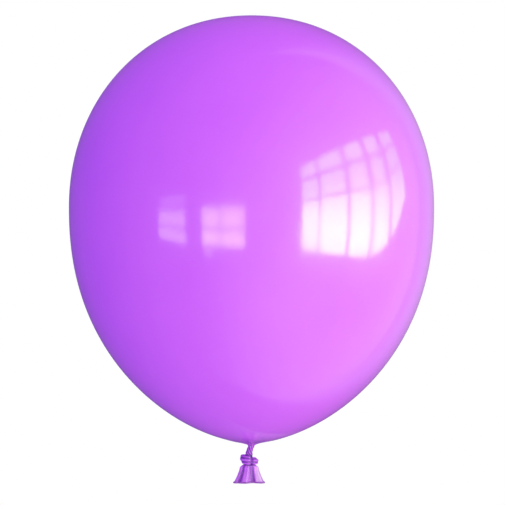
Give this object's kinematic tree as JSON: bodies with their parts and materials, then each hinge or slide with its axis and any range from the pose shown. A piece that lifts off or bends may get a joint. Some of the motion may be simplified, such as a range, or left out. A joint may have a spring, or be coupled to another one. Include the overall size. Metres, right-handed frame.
{
  "type": "latex balloon",
  "caption": "Inflated lilac latex party balloon, egg-shaped, tied off in its own neck, with a flared tail and rolled lip.",
  "frame": {"origin": "middle of the throat, where a ribbon is tied round the neck, just under the balloon", "axes": "+Z from the neck up to the crown, +X to the viewer's right along the tail's width, +Y away from the viewer"},
  "size_m": [0.3, 0.3, 0.3846],
  "materials": {
    "latex_belly": "gloss",
    "latex_neck": "satin",
    "latex_lip": "satin"
  },
  "bodies": {
    "balloon": {"envelope": "latex_belly", "neck_funnel": "latex_belly"},
    "gather": {"neck_gather": "latex_neck"},
    "twist": {"neck_twist": "latex_neck"},
    "knot": {"knot_core": "latex_neck", "knot_loop": "latex_neck", "tail_root": "latex_neck"},
    "tail": {"tail_sleeve": "latex_neck", "tail_skirt": "latex_neck", "lip_bead": "latex_lip"}
  },
  "joints": [
    {"name": "neck_swivel", "type": "hinge", "parent": "balloon", "child": "gather", "pos_m": [0, 0, -0.00105], "axis": [0, 0, 1], "range_deg": [-120, 120], "stiffness_Nm_per_rad": 0.0004},
    {"name": "neck_lean", "type": "hinge", "parent": "gather", "child": "twist", "pos_m": [0, 0, -0.0032], "axis": [0, 1, 0], "range_deg": [-35, 35], "stiffness_Nm_per_rad": 0.002},
    {"name": "neck_nod", "type": "hinge", "parent": "twist", "child": "knot", "pos_m": [0, 0, -0.0069], "axis": [1, 0, 0], "range_deg": [-35, 35], "stiffness_Nm_per_rad": 0.002},
    {"name": "tail_flap", "type": "hinge", "parent": "knot", "child": "tail", "pos_m": [0, 0, -0.0177], "axis": [1, 0, 0], "range_deg": [-60, 60], "stiffness_Nm_per_rad": 0.0002}
  ]
}
